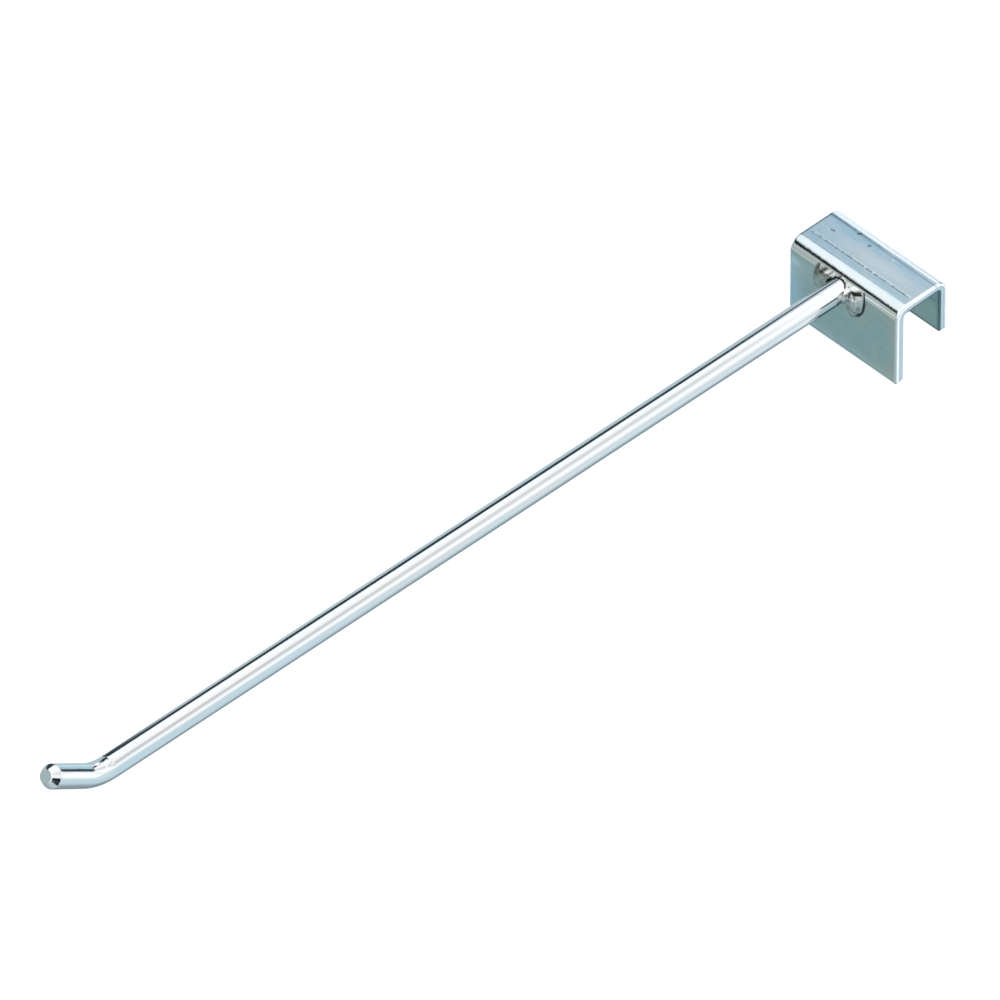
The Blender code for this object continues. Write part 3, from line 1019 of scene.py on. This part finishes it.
def makeTentCloth():
    values = tentLook
    material, tree = startMaterial("tent cloth")
    material.cycles.emission_sampling = "NONE"
    tree.nodes.clear()
    place = addNode(tree, "TexCoord").outputs["Object"]
    split = addNode(tree, "SeparateXYZ", {"Vector": place})
    x, y, z = (split.outputs[axis] for axis in "XYZ")

    def work(operation, first, second=0.0):
        return calculate(tree, operation, first, second)

    turn = work("ARCTAN2", z, x)
    at, half, most, middle = values["squeeze"]
    squeeze = mapValue(tree, y, at - half, at + half, -most, most)
    fromMiddle = work("SUBTRACT", turn, math.radians(middle))
    wave = work("SINE", work("MULTIPLY", fromMiddle, 2.0))
    degrees = work("ADD", work("MULTIPLY", turn, 180 / math.pi), work("MULTIPLY", wave, squeeze))
    share = work("FRACT", work("DIVIDE", work("ADD", degrees, 180.0), 360.0))

    def seams(name):
        return addRamp(tree, share, [((a + 180) / 360, colour) for a, *colour in values[name]])

    colour = mixColours(tree, mapValue(tree, y, *values["blend"], 0, 1), seams("frontSeams"),
                        seams("backSeams"))
    for middle, half, middleY, halfY, softness, softnessY, *cardColour in values["cards"]:
        aside = work("SUBTRACT", turn, math.radians(middle))
        around = work("ABSOLUTE", work("ARCTAN2", work("SINE", aside), work("COSINE", aside)))
        alongAway = work("ABSOLUTE", work("SUBTRACT", y, middleY))
        aroundShare = mapValue(tree, around, math.radians(half - softness / 2),
                               math.radians(half + softness / 2), 1, 0)
        alongShare = mapValue(tree, alongAway, halfY - softnessY / 2, halfY + softnessY / 2, 1, 0)
        colour = mixColours(tree, work("MULTIPLY", aroundShare, alongShare), colour, cardColour)
    toOpening = Vector(values["openingDirection"]).normalized()
    outward = addNode(tree, "VectorMath", {0: place}, operation="NORMALIZE").outputs[0]
    near = addNode(tree, "VectorMath", {0: outward, 1: toOpening}, operation="DOT_PRODUCT")
    outer, inner = (math.cos(math.radians(values["openingSize"] * edge))
                    for edge in values["openingEdge"])
    opening = mapValue(tree, near.outputs["Value"], outer, inner, 0, 1)
    colour = mixColours(tree, opening, colour, values["openingColour"])
    glow = addNode(tree, "Emission", {"Color": colour, "Strength": values["strength"]})
    addNode(tree, "OutputMaterial", {"Surface": glow.outputs["Emission"]})
    return material


floorLook = {"depth": 0.6, "size": 14.0, "colour": (0.8, 0.8, 0.8), "lift": 0.3}


def makeFloor():
    # The floor shows white to the camera and keeps what shadow falls on it; it is clear from below
    values = floorLook
    bm = bmesh.new()
    bmesh.ops.create_grid(bm, x_segments=2, y_segments=2, size=values["size"] / 2)
    floor = addMesh("studio_floor", bm)
    floor.location = (0, (prongLow.y + saddleHigh.y) / 2, -values["depth"])
    material, tree = startMaterial("pale floor")
    tree.nodes.clear()
    matt = addNode(tree, "BsdfDiffuse", {"Color": (*values["colour"], 1)})
    rays = addNode(tree, "LightPath")
    seen = calculate(tree, "MAXIMUM", rays.outputs["Is Camera Ray"], rays.outputs["Is Glossy Ray"])
    seen = calculate(tree, "MAXIMUM", seen, rays.outputs["Is Transmission Ray"])
    lift = addNode(tree, "Emission", {
        "Color": (1, 1, 1, 1), "Strength": calculate(tree, "MULTIPLY", seen, values["lift"])})
    lit = addNode(tree, "AddShader", {0: matt.outputs[0], 1: lift.outputs[0]})
    clear = addNode(tree, "BsdfTransparent")
    below = addNode(tree, "NewGeometry").outputs["Backfacing"]
    both = addNode(tree, "MixShader", {0: below, 1: lit.outputs[0], 2: clear.outputs[0]})
    addNode(tree, "OutputMaterial", {"Surface": both.outputs[0]})
    floor.data.materials.append(material)


def makeWorld():
    world = bpy.data.worlds.new("white studio")
    world.use_nodes = True
    background = world.node_tree.nodes["Background"]
    background.inputs["Color"].default_value = (1, 1, 1, 1)
    background.inputs["Strength"].default_value = 1.0
    bpy.context.scene.world = world


cameraLook = {
    "azimuth": math.radians(45.08),
    "elevation": math.radians(44.24),
    "lens": 1000.0,  # a long lens: the photograph shows almost no perspective
    "viewWidth": 1000 / 4313.2,  # metres across the picture at the target
    "middle": (0.0, -0.13, saddleHigh.z),
    "sideways": 5.7 * mm,  # the target, from the middle, in the picture's own plane
    "upward": 7.55 * mm,
}


def makeCamera():
    values = cameraLook
    azimuth, elevation = values["azimuth"], values["elevation"]
    toRight = Vector((math.cos(azimuth), math.sin(azimuth), 0))
    back = Vector((math.sin(azimuth) * math.cos(elevation), -math.cos(azimuth) * math.cos(elevation),
                   math.sin(elevation)))
    upward = back.cross(toRight)
    data = bpy.data.cameras.new("photo_view")
    data.lens = values["lens"]
    data.clip_end = 100.0
    target = Vector(values["middle"]) + toRight * values["sideways"] + upward * values["upward"]
    camera = addObject("photo_view", data)
    camera.location = target + back * values["viewWidth"] * values["lens"] / data.sensor_width
    camera.rotation_euler = back.to_track_quat("Z", "Y").to_euler()
    bpy.context.scene.camera = camera


def dress(piece, node):
    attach(piece, "root")
    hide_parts(node)


print("studio: camera, tent, floor and world")
makeCamera()
makeTent()
makeFloor()
makeWorld()
bpy.context.scene.view_settings.view_transform = "Standard"

print("saddle: blank sheared, folded and plated")
dress(makeSaddle(), "saddle")

print("prong: rod bent and chamfered")
dress(makeProng(), "prong")

print("weld beads")
weldZinc = makeWeldZinc()
dress(makeBead("left_weld", beadLook["left"], weldZinc), "weld_bead_left")
dress(makeBead("right_weld", beadLook["right"], weldZinc), "weld_bead_right")
